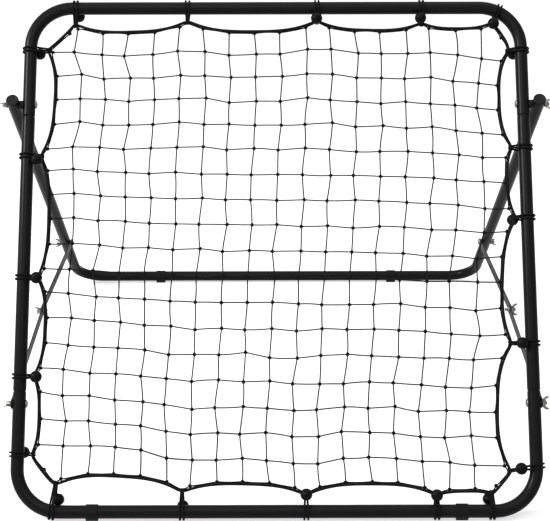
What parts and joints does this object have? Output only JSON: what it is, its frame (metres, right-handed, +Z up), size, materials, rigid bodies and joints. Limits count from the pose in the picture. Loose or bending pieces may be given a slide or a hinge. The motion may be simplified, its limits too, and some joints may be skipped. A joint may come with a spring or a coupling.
{
  "type": "rebounder net",
  "caption": "Folding rebounder: square tube frame with a knotted net on elastic ball ties, leaning on a hinged rear support with elbow stays.",
  "frame": {"origin": "on the floor, at the centre of the bounding box's base", "axes": "+X to the right across the net, +Y towards the rear support, +Z up; the net faces -Y and upwards"},
  "size_m": [1.1428, 1.0991, 0.889],
  "materials": {
    "tube": "satin black powder coat",
    "stay": "dark grey, satin",
    "zinc": "bright zinc plate",
    "plastic": "black moulded plastic",
    "foot_rubber": "black rubber",
    "rope": "black braided cord",
    "twine": "black twisted twine",
    "elastic": "black elastic cord with a black plastic ball"
  },
  "bodies": {
    "front_frame": {"front_frame_top": "tube", "front_frame_bottom": "tube", "side_tube_left": "tube", "side_tube_right": "tube", "front_saddle_left": "plastic", "front_saddle_right": "plastic", "front_foot_left": "foot_rubber", "front_foot_right": "foot_rubber", "hinge_bolt_left": "zinc", "hinge_bolt_right": "zinc", "lower_stay_bolt_left": "zinc", "lower_stay_bolt_right": "zinc", "net": "twine", "border_rope": "rope", "tie_top_1": "elastic", "tie_top_2": "elastic", "tie_top_3": "elastic", "tie_top_4": "elastic", "tie_top_5": "elastic", "tie_right_1": "elastic", "tie_right_2": "elastic", "tie_right_3": "elastic", "tie_right_4": "elastic", "tie_right_5": "elastic", "tie_bottom_1": "elastic", "tie_bottom_2": "elastic", "tie_bottom_3": "elastic", "tie_bottom_4": "elastic", "tie_bottom_5": "elastic", "tie_left_1": "elastic", "tie_left_2": "elastic", "tie_left_3": "elastic", "tie_left_4": "elastic", "tie_left_5": "elastic"},
    "rear_support": {"rear_support": "tube", "leg_plug_left": "plastic", "leg_plug_right": "plastic", "rear_saddle_left": "plastic", "rear_saddle_right": "plastic", "rear_foot_left": "foot_rubber", "rear_foot_right": "foot_rubber", "upper_stay_bolt_left": "zinc", "upper_stay_bolt_right": "zinc"},
    "lower_stay_left": {"lower_stay_left": "stay", "elbow_bolt_head_left": "zinc"},
    "upper_stay_left": {"upper_stay_left": "stay", "elbow_bolt_tip_left": "zinc"},
    "hinge_wing_nut_left": {"hinge_wing_nut_left": "zinc"},
    "lower_stay_wing_nut_left": {"lower_stay_wing_nut_left": "zinc"},
    "upper_stay_wing_nut_left": {"upper_stay_wing_nut_left": "zinc"},
    "elbow_wing_nut_left": {"elbow_wing_nut_left": "zinc"},
    "lower_stay_right": {"lower_stay_right": "stay", "elbow_bolt_head_right": "zinc"},
    "upper_stay_right": {"upper_stay_right": "stay", "elbow_bolt_tip_right": "zinc"},
    "hinge_wing_nut_right": {"hinge_wing_nut_right": "zinc"},
    "lower_stay_wing_nut_right": {"lower_stay_wing_nut_right": "zinc"},
    "upper_stay_wing_nut_right": {"upper_stay_wing_nut_right": "zinc"},
    "elbow_wing_nut_right": {"elbow_wing_nut_right": "zinc"}
  },
  "joints": [
    {"name": "rear_fold", "type": "hinge", "parent": "front_frame", "child": "rear_support", "pos_m": [0, -0.06287, 0.69836], "axis": [-1, 0, 0], "range_deg": [0, 62.8]},
    {"name": "lower_stay_fold_left", "type": "hinge", "parent": "front_frame", "child": "lower_stay_left", "pos_m": [-0.527, -0.41323, 0.19048], "axis": [1, 0, 0], "range_deg": [0, 48], "deforming": ["tie_left_2", "tie_left_3"]},
    {"name": "upper_stay_fold_left", "type": "hinge", "parent": "rear_support", "child": "upper_stay_left", "pos_m": [-0.5295, 0.38844, 0.18305], "axis": [-1, 0, 0], "range_deg": [0, 41.5]},
    {"name": "hinge_wing_nut_left_spin", "type": "hinge", "parent": "front_frame", "child": "hinge_wing_nut_left", "pos_m": [-0.5574, -0.06287, 0.69836], "axis": [-1, 0, 0], "continuous": true},
    {"name": "lower_stay_wing_nut_left_spin", "type": "hinge", "parent": "front_frame", "child": "lower_stay_wing_nut_left", "pos_m": [-0.5284, -0.41323, 0.19048], "axis": [-1, 0, 0], "continuous": true},
    {"name": "upper_stay_wing_nut_left_spin", "type": "hinge", "parent": "rear_support", "child": "upper_stay_wing_nut_left", "pos_m": [-0.5574, 0.38844, 0.18305], "axis": [-1, 0, 0], "continuous": true},
    {"name": "elbow_wing_nut_left_spin", "type": "hinge", "parent": "upper_stay_left", "child": "elbow_wing_nut_left", "pos_m": [-0.5309, -0.04624, 0.21003], "axis": [-1, 0, 0], "continuous": true},
    {"name": "lower_stay_fold_right", "type": "hinge", "parent": "front_frame", "child": "lower_stay_right", "pos_m": [0.527, -0.41323, 0.19048], "axis": [1, 0, 0], "range_deg": [0, 48], "deforming": ["tie_right_4"]},
    {"name": "upper_stay_fold_right", "type": "hinge", "parent": "rear_support", "child": "upper_stay_right", "pos_m": [0.5295, 0.38844, 0.18305], "axis": [-1, 0, 0], "range_deg": [0, 41.5]},
    {"name": "hinge_wing_nut_right_spin", "type": "hinge", "parent": "front_frame", "child": "hinge_wing_nut_right", "pos_m": [0.5574, -0.06287, 0.69836], "axis": [1, 0, 0], "continuous": true},
    {"name": "lower_stay_wing_nut_right_spin", "type": "hinge", "parent": "front_frame", "child": "lower_stay_wing_nut_right", "pos_m": [0.5284, -0.41323, 0.19048], "axis": [1, 0, 0], "continuous": true},
    {"name": "upper_stay_wing_nut_right_spin", "type": "hinge", "parent": "rear_support", "child": "upper_stay_wing_nut_right", "pos_m": [0.5574, 0.38844, 0.18305], "axis": [1, 0, 0], "continuous": true},
    {"name": "elbow_wing_nut_right_spin", "type": "hinge", "parent": "upper_stay_right", "child": "elbow_wing_nut_right", "pos_m": [0.5309, -0.04624, 0.21003], "axis": [1, 0, 0], "continuous": true}
  ],
  "couplings": [
    {"joint": "lower_stay_fold_left", "follows": "rear_fold", "ratio": 0.7637},
    {"joint": "upper_stay_fold_left", "follows": "rear_fold", "ratio": 0.6595},
    {"joint": "lower_stay_fold_right", "follows": "rear_fold", "ratio": 0.7637},
    {"joint": "upper_stay_fold_right", "follows": "rear_fold", "ratio": 0.6595}
  ]
}
